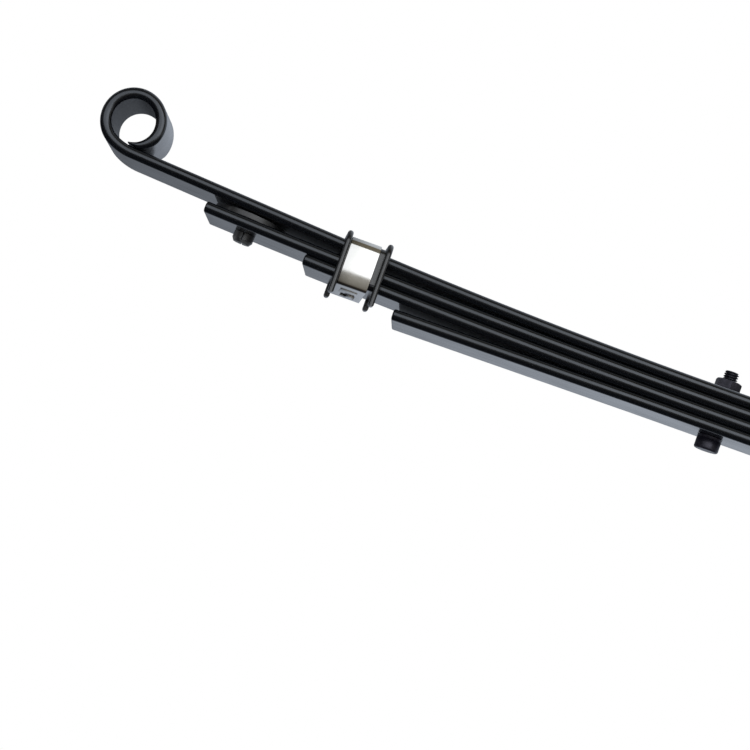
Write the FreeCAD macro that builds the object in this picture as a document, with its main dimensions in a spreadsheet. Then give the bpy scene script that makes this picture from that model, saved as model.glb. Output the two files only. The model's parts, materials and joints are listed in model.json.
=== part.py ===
"""Four-leaf automotive leaf spring with rolled, upturned eyes, in its unloaded shape.

Frame: X runs along the spring, Y across the leaves, Z up. The origin is on the centre bolt's axis,
in the flat underside of the helper leaf where the spring sits on its axle seat. Front is -X.
"""
import FreeCAD, Part
import math
import os

import Sketcher

Vector = FreeCAD.Vector

# Driving dimensions, in millimetres and degrees.
DIMENSIONS = {
    # every leaf
    "leaf_width": 60.0,
    "leaf_thickness": 8.0,
    "edge_radius": 3.2,
    "tip_radius": 1.5,
    "leaf_gap": 0.05,
    "main_gap": 0.3,
    "bolt_hole_radius": 5.25,
    # main leaf: an arc over the middle, then straight to each rolled eye
    "main_radius": 4500.0,
    "main_arc_half": 300.0,
    "eye_centre_x": 452.0,
    "eye_bore_radius": 15.5,
    "eye_height": 17.3,
    "eye_run_in_radius": 36.0,
    "roll_end_angle": 70.0,
    "lip_end_angle": 10.0,
    "lip_thickness": 0.7,
    "lip_clearance": 0.25,
    # second and third leaf
    "lower_radius": 7400.0,
    "second_half_length": 384.0,
    "third_half_length": 307.0,
    # helper leaf: flat on the seat, then straight but drooping a little
    "helper_half_length": 236.0,
    "helper_flat_half": 50.0,
    "helper_bend_radius": 2000.0,
    "helper_droop_angle": 0.35,
    "spot_face_radius": 9.2,
    "spot_face_depth": 0.3,
    # centre bolt and nut
    "bolt_radius": 5.0,
    "bolt_head_radius": 8.8,
    "bolt_head_height": 10.3,
    "bolt_head_edge": 1.5,
    "bolt_washer_radius": 7.5,
    "bolt_past_nut": 6.7,
    "bolt_end_chamfer": 1.0,
    "nut_across_flats": 17.0,
    "nut_height": 8.4,
    "nut_bore_radius": 5.05,
    "nut_seat_gap": 0.3,
    "nut_turn": 37.5,
    # rebound clips
    "clip_x": 270.1,
    "clip_inner_half": 32.0,
    "clip_inner_top": 29.15,
    "clip_inner_bottom": 2.6,
    "clip_lean": -0.4,
    "clip_yaw": 5.5,
    "liner_web": 2.0,
    "liner_top_web": 0.9,
    "liner_inner_corner": 3.0,
    "liner_channel": 25.4,
    "flange_thickness": 4.0,
    "flange_proud": 4.6,
    "flange_proud_top": 3.6,
    "flange_corner": 10.0,
    "flange_rim_radius": 1.9,
    "leg_drop_near": 11.5,
    "leg_drop_far": 7.5,
    "web_leg_end": 3.6,
    "band_width": 21.4,
    "band_thickness": 1.2,
    "band_corner": 6.2,
    "band_foot_corner": 2.0,
    "band_clearance": 0.05,
    "lock_slot_length": 11.0,
    "lock_slot_width": 4.0,
    # tip pads
    "pad_x": 354.0,
    "pad_radius": 26.5,
    "pad_edge_height": 3.8,
    "pad_crown_height": 4.9,
    "pad_float": 0.35,
    "stem_radius": 6.0,
    "stem_hole_radius": 6.8,
    "barb_radius": 7.5,
    "barb_end_radius": 5.8,
    "barb_height": 7.0,
    "barb_straight": 4.6,
    "stem_slot_width": 1.0,
}

FAR = 400.0  # longer than any cut needs to be

doc = FreeCAD.newDocument("LeafSpring")
sheet = doc.addObject("Spreadsheet::Sheet", "Dimensions")
for row, (alias, value) in enumerate(DIMENSIONS.items(), start=1):
    sheet.set(f"A{row}", alias)
    sheet.set(f"B{row}", str(value))
    sheet.setAlias(f"B{row}", alias)
doc.recompute()


def size(alias):
    """The value of one cell of the sheet."""
    return float(sheet.get(alias))


# ---------------------------------------------------------------- sketch helpers


def new_body(label):
    body = doc.addObject("PartDesign::Body", label)
    body.Label = label
    return body


def origin_plane(body, role):
    return next(item for item in body.Origin.OriginFeatures if item.Role == role)


def new_sketch(body, role, name):
    sketch = body.newObject("Sketcher::SketchObject", name)
    sketch.AttachmentSupport = [(origin_plane(body, role), "")]
    sketch.MapMode = "FlatFace"
    return sketch


def point(x, y):
    return Vector(x, y, 0)


def line(start, end):
    return Part.LineSegment(point(*start), point(*end))


def arc(centre, radius, start_deg, end_deg):
    circle = Part.Circle(point(*centre), Vector(0, 0, 1), radius)
    return Part.ArcOfCircle(circle, math.radians(start_deg), math.radians(end_deg))


def bind(sketch, kind, *references, value, to):
    """Add one dimension to a sketch and bind it to an expression on the sheet."""
    index = sketch.addConstraint(Sketcher.Constraint(kind, *references, value))
    sketch.setExpression(f"Constraints[{index}]", to)


def cell(alias):
    return f"Dimensions.{alias}"


def circle_sketch(body, role, name, alias, centre=(0.0, 0.0)):
    """A circle on an origin plane, its radius bound to the sheet."""
    sketch = new_sketch(body, role, name)
    sketch.addGeometry(Part.Circle(point(*centre), Vector(0, 0, 1), size(alias)))
    bind(sketch, "Radius", 0, value=size(alias), to=cell(alias))
    return sketch


def drill(body, name, alias, x=0.0):
    """A round hole through the leaf along Z, at x."""
    sketch = circle_sketch(body, "XY_Plane", f"{name}Sketch", alias, (x, 0.0))
    hole = body.newObject("PartDesign::Pocket", name)
    hole.Profile = sketch
    hole.Type = 0
    hole.Length = FAR
    hole.Midplane = True
    doc.recompute()
    return hole


def leaf_section(body, name, bottom, to):
    """A leaf's cross-section in the YZ plane: a flat bar with rolled edges, its underside at bottom."""
    half = size("leaf_width") / 2
    top = bottom + size("leaf_thickness")
    radius = size("edge_radius")
    inner = half - radius
    sketch = new_sketch(body, "YZ_Plane", name)
    sketch.addGeometry([
        line((-inner, bottom), (inner, bottom)),
        arc((inner, bottom + radius), radius, -90, 0),
        line((half, bottom + radius), (half, top - radius)),
        arc((inner, top - radius), radius, 0, 90),
        line((inner, top), (-inner, top)),
        arc((-inner, top - radius), radius, 90, 180),
        line((-half, top - radius), (-half, bottom + radius)),
        arc((-inner, bottom + radius), radius, 180, 270),
    ])
    joins = [(0, 2, 1, 1), (1, 2, 2, 1), (2, 2, 3, 1), (3, 2, 4, 1),
             (4, 2, 5, 1), (5, 2, 6, 1), (6, 2, 7, 1), (7, 2, 0, 1)]
    for join in joins:
        sketch.addConstraint(Sketcher.Constraint("Tangent", *join))
    for other in (3, 5, 7):
        sketch.addConstraint(Sketcher.Constraint("Equal", 1, other))
    sketch.addConstraint(Sketcher.Constraint("Symmetric", 0, 1, 0, 2, -2))
    bind(sketch, "Radius", 1, value=radius, to=cell("edge_radius"))
    bind(sketch, "Distance", 0, 1, 4, value=size("leaf_thickness"), to=cell("leaf_thickness"))
    bind(sketch, "Distance", 2, 1, 6, value=size("leaf_width"), to=cell("leaf_width"))
    bind(sketch, "DistanceY", -1, 1, 0, 1, value=bottom, to=to)
    return sketch


def sweep_both_ways(body, section, path):
    """Sweep half a leaf from its middle out along its camber line, and mirror it."""
    sweep = body.newObject("PartDesign::AdditivePipe", "HalfLeaf")
    sweep.Profile = section
    sweep.Spine = (path, [])
    doc.recompute()
    mirror = body.newObject("PartDesign::Mirrored", "WholeLeaf")
    mirror.Originals = [sweep]
    mirror.MirrorPlane = (origin_plane(body, "YZ_Plane"), [""])
    body.Tip = mirror
    doc.recompute()
    return mirror


def round_edges(body, name, edges, alias):
    """Fillet the named edges of the body as it stands."""
    base = body.Tip
    fillet = body.newObject("PartDesign::Fillet", name)
    fillet.Base = (base, edges)
    fillet.setExpression("Radius", cell(alias))
    doc.recompute()


def round_tips(body, half_length):
    """Break the sharp edges of the sheared ends."""
    names = []
    for index, edge in enumerate(body.Shape.Edges, start=1):
        box = edge.BoundBox
        if box.XLength < 2.0 and abs(box.Center.x) > half_length - 5.0:
            names.append(f"Edge{index}")
    round_edges(body, "TipRounding", names, "tip_radius")


# ---------------------------------------------------------------- stack heights

THICK = size("leaf_thickness")
HALF_THICK = THICK / 2
helper_bottom = 0.0
third_bottom = helper_bottom + THICK + size("leaf_gap")
second_bottom = third_bottom + THICK + size("leaf_gap")
main_bottom = second_bottom + THICK + size("main_gap")
main_top = main_bottom + THICK

THICK_CELL = cell("leaf_thickness")
THIRD_CELL = f"({THICK_CELL} + {cell('leaf_gap')})"
SECOND_CELL = f"(2 * {THICK_CELL} + 2 * {cell('leaf_gap')})"
MAIN_CELL = f"(3 * {THICK_CELL} + 2 * {cell('leaf_gap')} + {cell('main_gap')})"


def lower_rise(x):
    """How far the second and third leaf have risen at x."""
    return x * x / (2 * size("lower_radius"))


# ---------------------------------------------------------------- leaves


def arc_leaf(label, bottom, bottom_cell, top_radius, radius_cell, half_length_alias):
    """A leaf bent to one arc, its top surface of the given radius, centred above the middle."""
    body = new_body(label)
    section = leaf_section(body, "Section", bottom, bottom_cell)
    radius = top_radius + HALF_THICK
    middle = bottom + HALF_THICK
    half = size(half_length_alias)
    reach = math.degrees(math.asin(half / radius))
    path = new_sketch(body, "XZ_Plane", "CamberLine")
    path.addGeometry(arc((0, middle + radius), radius, -90, -90 + reach))
    path.addConstraint(Sketcher.Constraint("PointOnObject", 0, 3, -2))
    path.addConstraint(Sketcher.Constraint("PointOnObject", 0, 1, -2))
    bind(path, "Radius", 0, value=radius, to=f"{radius_cell} + {THICK_CELL} / 2")
    bind(path, "DistanceY", -1, 1, 0, 1, value=middle, to=f"{bottom_cell} + {THICK_CELL} / 2")
    bind(path, "DistanceX", -1, 1, 0, 2, value=half, to=cell(half_length_alias))
    sweep_both_ways(body, section, path)
    round_tips(body, half)
    drill(body, "BoltHole", "bolt_hole_radius")
    return body


def make_second_leaf():
    body = arc_leaf("second_leaf", second_bottom, SECOND_CELL, size("lower_radius"),
                    cell("lower_radius"), "second_half_length")
    drill(body, "FrontStemHole", "stem_hole_radius", -size("pad_x"))
    drill(body, "RearStemHole", "stem_hole_radius", size("pad_x"))
    return body


def make_third_leaf():
    return arc_leaf("third_leaf", third_bottom, THIRD_CELL,
                    size("lower_radius") + THICK + size("leaf_gap"),
                    f"{cell('lower_radius')} + {THIRD_CELL}", "third_half_length")


def make_helper_leaf():
    """Flat where it sits on the axle, then bent down a little and straight to each tip."""
    body = new_body("helper_leaf")
    section = leaf_section(body, "Section", helper_bottom, f"0 * {THICK_CELL}")
    flat = size("helper_flat_half")
    half = size("helper_half_length")
    radius = size("helper_bend_radius")
    droop = math.radians(size("helper_droop_angle"))
    bend_end = (flat + radius * math.sin(droop), HALF_THICK - radius * (1 - math.cos(droop)))
    tip = (half, bend_end[1] - (half - bend_end[0]) * math.tan(droop))
    path = new_sketch(body, "XZ_Plane", "CamberLine")
    path.addGeometry([
        line((0, HALF_THICK), (flat, HALF_THICK)),
        arc((flat, HALF_THICK - radius), radius, 90 - size("helper_droop_angle"), 90),
        line(bend_end, tip),
    ])
    path.addConstraint(Sketcher.Constraint("Horizontal", 0))
    path.addConstraint(Sketcher.Constraint("PointOnObject", 0, 1, -2))
    path.addConstraint(Sketcher.Constraint("Tangent", 0, 2, 1, 2))
    path.addConstraint(Sketcher.Constraint("Tangent", 1, 1, 2, 1))
    bind(path, "DistanceY", -1, 1, 0, 1, value=HALF_THICK, to=f"{THICK_CELL} / 2")
    bind(path, "DistanceX", 0, 1, 0, 2, value=flat, to=cell("helper_flat_half"))
    bind(path, "Radius", 1, value=radius, to=cell("helper_bend_radius"))
    bind(path, "Angle", 1, value=droop, to=f"{cell('helper_droop_angle')} * 1 deg")
    bind(path, "DistanceX", -1, 1, 2, 2, value=half, to=cell("helper_half_length"))
    sweep_both_ways(body, section, path)
    round_tips(body, half)
    drill(body, "BoltHole", "bolt_hole_radius")
    spot = circle_sketch(body, "XY_Plane", "SpotFaceSketch", "spot_face_radius")
    face = body.newObject("PartDesign::Pocket", "SpotFace")
    face.Profile = spot
    face.setExpression("Length", cell("spot_face_depth"))
    face.Reversed = True
    doc.recompute()
    return body


def eye_geometry():
    """Where the main leaf's camber line turns into its eye, in the XZ plane."""
    slope = size("main_arc_half") / size("main_radius")
    along = (math.cos(slope), math.sin(slope))
    normal = (-along[1], along[0])
    roll = size("eye_bore_radius") + HALF_THICK
    run_in = size("eye_run_in_radius") + HALF_THICK
    offset = size("eye_height") + HALF_THICK
    lead = math.sqrt((run_in - roll) ** 2 - (run_in - offset) ** 2)
    arc_radius = size("main_radius") + HALF_THICK
    middle = main_bottom + HALF_THICK
    arc_end = (arc_radius * along[1], middle + arc_radius * (1 - along[0]))
    straight = (size("eye_centre_x") - arc_end[0] - offset * normal[0]) / along[0] - lead
    line_end = (arc_end[0] + straight * along[0], arc_end[1] + straight * along[1])
    run_in_centre = (line_end[0] + run_in * normal[0], line_end[1] + run_in * normal[1])
    eye = (line_end[0] + lead * along[0] + offset * normal[0],
           line_end[1] + lead * along[1] + offset * normal[1])
    run_in_turn = math.asin(lead / (run_in - roll))
    return {
        "slope": math.degrees(slope), "along": along, "normal": normal, "middle": middle,
        "arc_radius": arc_radius, "arc_end": arc_end, "line_end": line_end,
        "run_in": run_in, "run_in_centre": run_in_centre, "run_in_turn": math.degrees(run_in_turn),
        "roll": roll, "offset": offset, "eye": eye,
    }


EYE = eye_geometry()


def main_camber_line(body):
    """Half the main leaf's centre line: arc, straight, run-in arc and the roll round the eye."""
    down = -90 + EYE["slope"]
    leaving = down + EYE["run_in_turn"]
    roll_turn = 360 - size("roll_end_angle") - EYE["run_in_turn"]
    path = new_sketch(body, "XZ_Plane", "CamberLine")
    path.addGeometry([
        arc((0, EYE["middle"] + EYE["arc_radius"]), EYE["arc_radius"], -90, down),
        line(EYE["arc_end"], EYE["line_end"]),
        arc(EYE["run_in_centre"], EYE["run_in"], down, leaving),
        arc(EYE["eye"], EYE["roll"], leaving, leaving + roll_turn),
    ])
    path.addConstraint(Sketcher.Constraint("PointOnObject", 0, 3, -2))
    path.addConstraint(Sketcher.Constraint("PointOnObject", 0, 1, -2))
    for join in ((0, 2, 1, 1), (1, 2, 2, 1), (2, 2, 3, 1)):
        path.addConstraint(Sketcher.Constraint("Tangent", *join))
    half = f"{THICK_CELL} / 2"
    bind(path, "DistanceY", -1, 1, 0, 1, value=EYE["middle"], to=f"{MAIN_CELL} + {half}")
    bind(path, "Radius", 0, value=EYE["arc_radius"], to=f"{cell('main_radius')} + {half}")
    bind(path, "DistanceX", -1, 1, 0, 2, value=EYE["arc_end"][0],
         to=f"({cell('main_radius')} + {half}) * "
            f"sin({cell('main_arc_half')} / {cell('main_radius')} * 1 rad)")
    bind(path, "Radius", 2, value=EYE["run_in"], to=f"{cell('eye_run_in_radius')} + {half}")
    bind(path, "Radius", 3, value=EYE["roll"], to=f"{cell('eye_bore_radius')} + {half}")
    bind(path, "DistanceX", -1, 1, 3, 3, value=EYE["eye"][0], to=cell("eye_centre_x"))
    bind(path, "Distance", 3, 3, 1, value=EYE["offset"], to=f"{cell('eye_height')} + {half}")
    bind(path, "Angle", 3, value=math.radians(roll_turn), to=f"{roll_turn} deg")
    return path


def polar(angle_deg, radius):
    """A point round the rear eye. The angle is taken from the leaf below it, inboard positive."""
    turn = math.radians(-90 + EYE["slope"] - angle_deg)
    return (EYE["eye"][0] + radius * math.cos(turn), EYE["eye"][1] + radius * math.sin(turn))


def lip_outline(body):
    """The last of the roll, scarfed to a thin lip that lies along the leaf's top surface."""
    bore = size("eye_bore_radius")
    root = size("roll_end_angle") + 2
    tip = size("lip_end_angle")
    above_leaf = size("eye_height") - size("lip_clearance")
    tip_radius = bore + size("lip_thickness")
    flat_angle = tip + 22
    flat_radius = above_leaf / math.cos(math.radians(flat_angle))
    bore_start = -90 + EYE["slope"] - root
    bore_end = -90 + EYE["slope"] - tip
    outline = new_sketch(body, "XZ_Plane", "LipOutline")
    outline.addGeometry([
        arc(EYE["eye"], bore, bore_start, bore_end),
        line(polar(tip, bore), polar(tip, tip_radius)),
        line(polar(tip, tip_radius), polar(flat_angle, flat_radius)),
        Part.Arc(point(*polar(flat_angle, flat_radius)),
                 point(*polar((flat_angle + root) / 2, bore + 0.86 * THICK)),
                 point(*polar(root, bore + THICK))),
        line(polar(root, bore + THICK), polar(root, bore)),
    ])
    bind(outline, "Radius", 0, value=bore, to=cell("eye_bore_radius"))
    return outline


def make_main_leaf():
    body = new_body("main_leaf")
    section = leaf_section(body, "Section", main_bottom, MAIN_CELL)
    path = main_camber_line(body)
    sweep = body.newObject("PartDesign::AdditivePipe", "HalfLeaf")
    sweep.Profile = section
    sweep.Spine = (path, [])
    doc.recompute()
    lip = body.newObject("PartDesign::Pad", "EyeLip")
    lip.Profile = lip_outline(body)
    lip.Midplane = True
    lip.setExpression("Length", f"{cell('leaf_width')} - 2 * {cell('edge_radius')}")
    doc.recompute()
    mirror = body.newObject("PartDesign::Mirrored", "WholeLeaf")
    mirror.Originals = [sweep, lip]
    mirror.MirrorPlane = (origin_plane(body, "YZ_Plane"), [""])
    body.Tip = mirror
    doc.recompute()
    drill(body, "BoltHole", "bolt_hole_radius")
    return body


# ---------------------------------------------------------------- centre bolt and nut


def revolved(label, outline):
    """A turned piece: outline is its half profile as (radius, height) points, closed on the axis."""
    body = new_body(label)
    sketch = new_sketch(body, "XZ_Plane", "Profile")
    closed = outline + [outline[0]]
    sketch.addGeometry([line(a, b) for a, b in zip(closed, closed[1:])])
    turn = body.newObject("PartDesign::Revolution", "Turned")
    turn.Profile = sketch
    turn.ReferenceAxis = (sketch, ["V_Axis"])
    turn.Angle = 360.0
    doc.recompute()
    return body, sketch


def make_centre_bolt():
    """Round-headed centre bolt: head below the helper leaf, thread through the nut on top."""
    head = size("bolt_head_height")
    top = main_top + size("nut_seat_gap") + size("nut_height") + size("bolt_past_nut")
    chamfer = size("bolt_end_chamfer")
    shank = size("bolt_radius")
    body, sketch = revolved("centre_bolt", [
        (0, -head), (size("bolt_head_radius"), -head), (size("bolt_head_radius"), 0),
        (size("bolt_washer_radius"), 0), (size("bolt_washer_radius"), size("spot_face_depth")),
        (shank, size("spot_face_depth")), (shank, top - chamfer), (shank - chamfer, top), (0, top),
    ])
    bind(sketch, "DistanceX", -1, 1, 1, 1, value=size("bolt_head_radius"),
         to=cell("bolt_head_radius"))
    bind(sketch, "DistanceX", -1, 1, 6, 1, value=shank, to=cell("bolt_radius"))
    edges = [f"Edge{index}" for index, edge in enumerate(body.Shape.Edges, start=1)
             if abs(edge.BoundBox.ZMin + head) < 0.01 and abs(edge.BoundBox.ZMax + head) < 0.01]
    round_edges(body, "HeadRounding", edges, "bolt_head_edge")
    return body


def make_centre_nut():
    """Hexagon nut, its corners turned off at both faces."""
    bottom = main_top + size("nut_seat_gap")
    flats = size("nut_across_flats")
    corner = flats / math.sqrt(3)
    body = new_body("centre_nut")
    sketch = new_sketch(body, "XY_Plane", "Hexagon")
    corners = [(corner * math.cos(math.radians(60 * step + size("nut_turn"))),
                corner * math.sin(math.radians(60 * step + size("nut_turn")))) for step in range(6)]
    sketch.addGeometry([line(a, b) for a, b in zip(corners, corners[1:] + corners[:1])])
    sketch.addGeometry(Part.Circle(point(0, 0), Vector(0, 0, 1), size("nut_bore_radius")))
    bind(sketch, "Radius", 6, value=size("nut_bore_radius"), to=cell("nut_bore_radius"))
    block = body.newObject("PartDesign::Pad", "Block")
    block.Profile = sketch
    block.setExpression("Length", cell("nut_height"))
    doc.recompute()
    cone = new_sketch(body, "XZ_Plane", "CornerCut")
    inner = flats / 2 - 0.2
    outer = corner + 1.0
    drop = (outer - inner) * math.tan(math.radians(30))
    high = size("nut_height")
    for low, level in ((0.0, -1.0), (high, high + 1.0)):
        inside = drop if low == 0.0 else high - drop
        ring = [(inner, low), (outer, inside), (outer, level), (inner, level)]
        cone.addGeometry([line(a, b) for a, b in zip(ring, ring[1:] + ring[:1])])
    groove = body.newObject("PartDesign::Groove", "Corners")
    groove.Profile = cone
    groove.ReferenceAxis = (cone, ["V_Axis"])
    groove.Angle = 360.0
    doc.recompute()
    body.Placement = FreeCAD.Placement(Vector(0, 0, bottom), FreeCAD.Rotation())
    return body


# ---------------------------------------------------------------- rebound clips

CLIP_TOP = size("clip_inner_top") + size("liner_top_web")
CLIP_HALF = size("clip_inner_half") + size("liner_web")
BAND_HALF = CLIP_HALF + size("band_clearance") + size("band_thickness")
BAND_TOP = CLIP_TOP + size("band_clearance") + size("band_thickness")
BAND_BOTTOM = -size("clip_inner_bottom") - size("band_thickness")


def rounded_box(half, low, high, radius, foot_radius):
    """A rectangle in the YZ plane, centred on Z, its upper and lower corners rounded apart."""
    inner = half - radius
    foot = half - foot_radius
    return [
        line((-foot, low), (foot, low)), arc((foot, low + foot_radius), foot_radius, -90, 0),
        line((half, low + foot_radius), (half, high - radius)),
        arc((inner, high - radius), radius, 0, 90),
        line((inner, high), (-inner, high)), arc((-inner, high - radius), radius, 90, 180),
        line((-half, high - radius), (-half, low + foot_radius)),
        arc((-foot, low + foot_radius), foot_radius, 180, 270),
    ]


def arch(half, top, radius, near_end, far_end):
    """An arch open at the bottom: up the near side, over the top and down the far side."""
    inner = half - radius
    return [
        line((-half, near_end), (-half, top - radius)), arc((-inner, top - radius), radius, 90, 180),
        line((-inner, top), (inner, top)), arc((inner, top - radius), radius, 0, 90),
        line((half, top - radius), (half, far_end)),
    ]


def midplane_pad(body, name, sketch, length_expression):
    pad = body.newObject("PartDesign::Pad", name)
    pad.Profile = sketch
    pad.Midplane = True
    pad.setExpression("Length", length_expression)
    doc.recompute()
    return pad


def clip_placement(side):
    """The clip sits at clip_x either side of the middle, leaning and turned a little askew."""
    x = size("clip_x")
    height = third_bottom + lower_rise(x)
    turn = (FreeCAD.Rotation(Vector(0, 0, 1), size("clip_yaw"))
            * FreeCAD.Rotation(Vector(0, 1, 0), size("clip_lean")))
    if side > 0:
        turn = FreeCAD.Rotation(Vector(0, 0, 1), 180) * turn
    return FreeCAD.Placement(Vector(side * x, 0, height), turn)


def make_clip_liner(label, side):
    """A flanged channel bent over the top and both edges of the upper three leaves."""
    body = new_body(label)
    inside = size("clip_inner_half")
    inside_top = size("clip_inner_top")
    outside = BAND_HALF + size("flange_proud")
    outside_top = BAND_TOP + size("flange_proud_top")
    near, far = -size("leg_drop_near"), -size("leg_drop_far")
    whole = new_sketch(body, "YZ_Plane", "FlangeOutline")
    whole.addGeometry(arch(outside, outside_top, size("flange_corner"), near, far))
    whole.addGeometry(line((outside, far), (inside, far)))
    whole.addGeometry(arch(inside, inside_top, size("liner_inner_corner"), near, far))
    whole.addGeometry(line((-inside, near), (-outside, near)))
    midplane_pad(body, "Flanges", whole,
                 f"{cell('liner_channel')} + 2 * {cell('flange_thickness')}")
    around = new_sketch(body, "YZ_Plane", "ChannelOutline")
    edge = outside + 20
    low, high = near - 20, outside_top + 20
    around.addGeometry([line((-edge, low), (edge, low)), line((edge, low), (edge, high)),
                        line((edge, high), (-edge, high)), line((-edge, high), (-edge, low))])
    end = size("web_leg_end")
    around.addGeometry(arch(CLIP_HALF, CLIP_TOP, size("band_corner") - size("band_thickness"),
                            end, end))
    around.addGeometry(line((CLIP_HALF, end), (-CLIP_HALF, end)))
    channel = body.newObject("PartDesign::Pocket", "Channel")
    channel.Profile = around
    channel.Type = 0
    channel.Midplane = True
    channel.setExpression("Length", cell("liner_channel"))
    doc.recompute()
    round_rims(body)
    body.Placement = clip_placement(side)
    return body


def round_rims(body):
    """Round both rims of each flange, along its outer edge and across the ends of its legs."""
    faces = [size("liner_channel") / 2, size("liner_channel") / 2 + size("flange_thickness")]
    names = []
    for index, edge in enumerate(body.Shape.Edges, start=1):
        box = edge.BoundBox
        flat = box.XLength < 0.01 and any(abs(abs(box.Center.x) - x) < 0.01 for x in faces)
        outer = max(abs(box.YMin), abs(box.YMax)) > CLIP_HALF + 2 or box.ZMax > CLIP_TOP + 2
        leg_end = box.ZLength < 0.01 and box.ZMax < 0
        if flat and (outer or leg_end):
            names.append(f"Edge{index}")
    round_edges(body, "RimRounding", names, "flange_rim_radius")


def make_clip_band(label, side):
    """A flat steel band closed round the liner, pushed to the eye side of its channel."""
    body = new_body(label)
    thick = size("band_thickness")
    shift = (size("liner_channel") - size("band_width")) / 2 - 0.3
    ring = new_sketch(body, "YZ_Plane", "BandOutline")
    corner, foot = size("band_corner"), size("band_foot_corner")
    ring.addGeometry(rounded_box(BAND_HALF, BAND_BOTTOM, BAND_TOP, corner, foot))
    ring.addGeometry(rounded_box(BAND_HALF - thick, BAND_BOTTOM + thick, BAND_TOP - thick,
                                 corner - thick, foot - thick))
    midplane_pad(body, "Band", ring, cell("band_width"))
    slot = new_sketch(body, "XY_Plane", "LockSlot")
    long, wide = size("lock_slot_length") / 2, size("lock_slot_width") / 2
    corners = [(-long, -wide), (long, -wide), (long, wide), (-long, wide)]
    slot.addGeometry([line(a, b) for a, b in zip(corners, corners[1:] + corners[:1])])
    lock = body.newObject("PartDesign::Pocket", "Lock")
    lock.Profile = slot
    lock.Type = 0
    lock.Length = 5.0
    doc.recompute()
    body.Placement = clip_placement(side) * FreeCAD.Placement(Vector(-shift, 0, 0),
                                                              FreeCAD.Rotation())
    return body


# ---------------------------------------------------------------- tip pads


def make_tip_pad(label, side):
    """A crowned plastic disc between main and second leaf, snapped in by a split, barbed stem."""
    float_up = size("pad_float")
    below = -THICK - float_up
    barb = size("barb_radius")
    body, sketch = revolved(label, [
        (0, below - size("barb_height")), (size("barb_end_radius"), below - size("barb_height")),
        (barb, below - size("barb_straight")), (barb, below), (size("stem_radius"), below),
        (size("stem_radius"), float_up), (size("pad_radius"), float_up),
        (size("pad_radius"), size("pad_edge_height")), (size("stem_radius"), size("pad_crown_height")),
        (0, size("pad_crown_height")),
    ])
    bind(sketch, "DistanceX", -1, 1, 6, 1, value=size("pad_radius"), to=cell("pad_radius"))
    cut = new_sketch(body, "XZ_Plane", "StemSplit")
    half = size("stem_slot_width") / 2
    low, high = below - size("barb_height") - 1, below + THICK / 2
    corners = [(-half, low), (half, low), (half, high), (-half, high)]
    cut.addGeometry([line(a, b) for a, b in zip(corners, corners[1:] + corners[:1])])
    split = body.newObject("PartDesign::Pocket", "Split")
    split.Profile = cut
    split.Type = 0
    split.Midplane = True
    split.Length = FAR
    doc.recompute()
    x = size("pad_x")
    tilt = math.degrees(math.asin(x / size("lower_radius")))
    height = second_bottom + THICK + lower_rise(x)
    body.Placement = FreeCAD.Placement(Vector(side * x, 0, height),
                                       FreeCAD.Rotation(Vector(0, 1, 0), -side * tilt))
    return body


# ---------------------------------------------------------------- build, check and write

FRONT, REAR = -1, 1
bodies = [make_main_leaf(), make_second_leaf(), make_third_leaf(), make_helper_leaf(),
          make_centre_bolt(), make_centre_nut()]
for end, side in (("front", FRONT), ("rear", REAR)):
    bodies.append(make_clip_liner(f"{end}_clip_liner", side))
    bodies.append(make_clip_band(f"{end}_clip_band", side))
    bodies.append(make_tip_pad(f"{end}_tip_pad", side))
doc.recompute()

for item in doc.Objects:
    if "Invalid" in item.State or "Error" in item.State:
        raise RuntimeError(f"{item.Label}: {item.State}")
for body in bodies:
    if body.Shape.isNull() or not body.Shape.isValid() or len(body.Shape.Solids) != 1:
        raise RuntimeError(f"{body.Label}: {len(body.Shape.Solids)} solids, or not valid")

os.makedirs("parts", exist_ok=True)
for body in bodies:
    body.Shape.exportStep(f"parts/{body.Label}.step")
    box = body.Shape.BoundBox
    print(f"{body.Label}: {body.Shape.Volume:.0f} mm3, z {box.ZMin:.2f} to {box.ZMax:.2f}")
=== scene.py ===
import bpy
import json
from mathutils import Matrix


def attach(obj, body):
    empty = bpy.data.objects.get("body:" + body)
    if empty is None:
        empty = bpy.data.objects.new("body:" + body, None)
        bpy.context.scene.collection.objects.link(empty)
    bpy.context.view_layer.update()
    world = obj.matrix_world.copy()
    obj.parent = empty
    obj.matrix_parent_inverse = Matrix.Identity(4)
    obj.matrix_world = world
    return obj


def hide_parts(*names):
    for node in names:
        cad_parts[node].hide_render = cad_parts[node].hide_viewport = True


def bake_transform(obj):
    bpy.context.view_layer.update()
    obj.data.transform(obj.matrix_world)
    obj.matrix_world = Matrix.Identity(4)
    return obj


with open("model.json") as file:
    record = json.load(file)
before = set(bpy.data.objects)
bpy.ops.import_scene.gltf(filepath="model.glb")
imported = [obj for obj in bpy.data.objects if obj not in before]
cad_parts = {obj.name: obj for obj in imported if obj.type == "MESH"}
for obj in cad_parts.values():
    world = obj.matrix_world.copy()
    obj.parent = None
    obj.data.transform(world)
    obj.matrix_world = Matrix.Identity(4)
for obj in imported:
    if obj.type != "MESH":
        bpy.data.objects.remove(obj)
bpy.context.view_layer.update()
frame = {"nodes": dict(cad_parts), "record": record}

import json
import math

import bmesh
import bpy
from mathutils import Matrix, Vector

# A four-leaf vehicle spring. X runs along it, its front eye at -X; Y runs across; Z is up. The
# origin is on the centre bolt's axis, in the flat underside of the helper leaf.

MM = 0.001
FRONT, REAR = -1, 1
END_NAMES = {FRONT: "front", REAR: "rear"}

# ---------------------------------------------------------------- sizes of the object, in mm

LEAF_HALF_WIDTH = 30.0
LEAF_THICK = 8.0
NOSE_DEPTH = 3.2          # how far the rolled edge of a leaf reaches in from its side
NOSE_STEPS = 16
FACE_MARGIN = 0.6         # between a leaf's flat face and its nose
TIP_ROUND = 1.4
TIP_STEPS = 6
STATION_STEP = 8.0        # spacing of the rings along a leaf, close enough for it to bend

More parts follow.
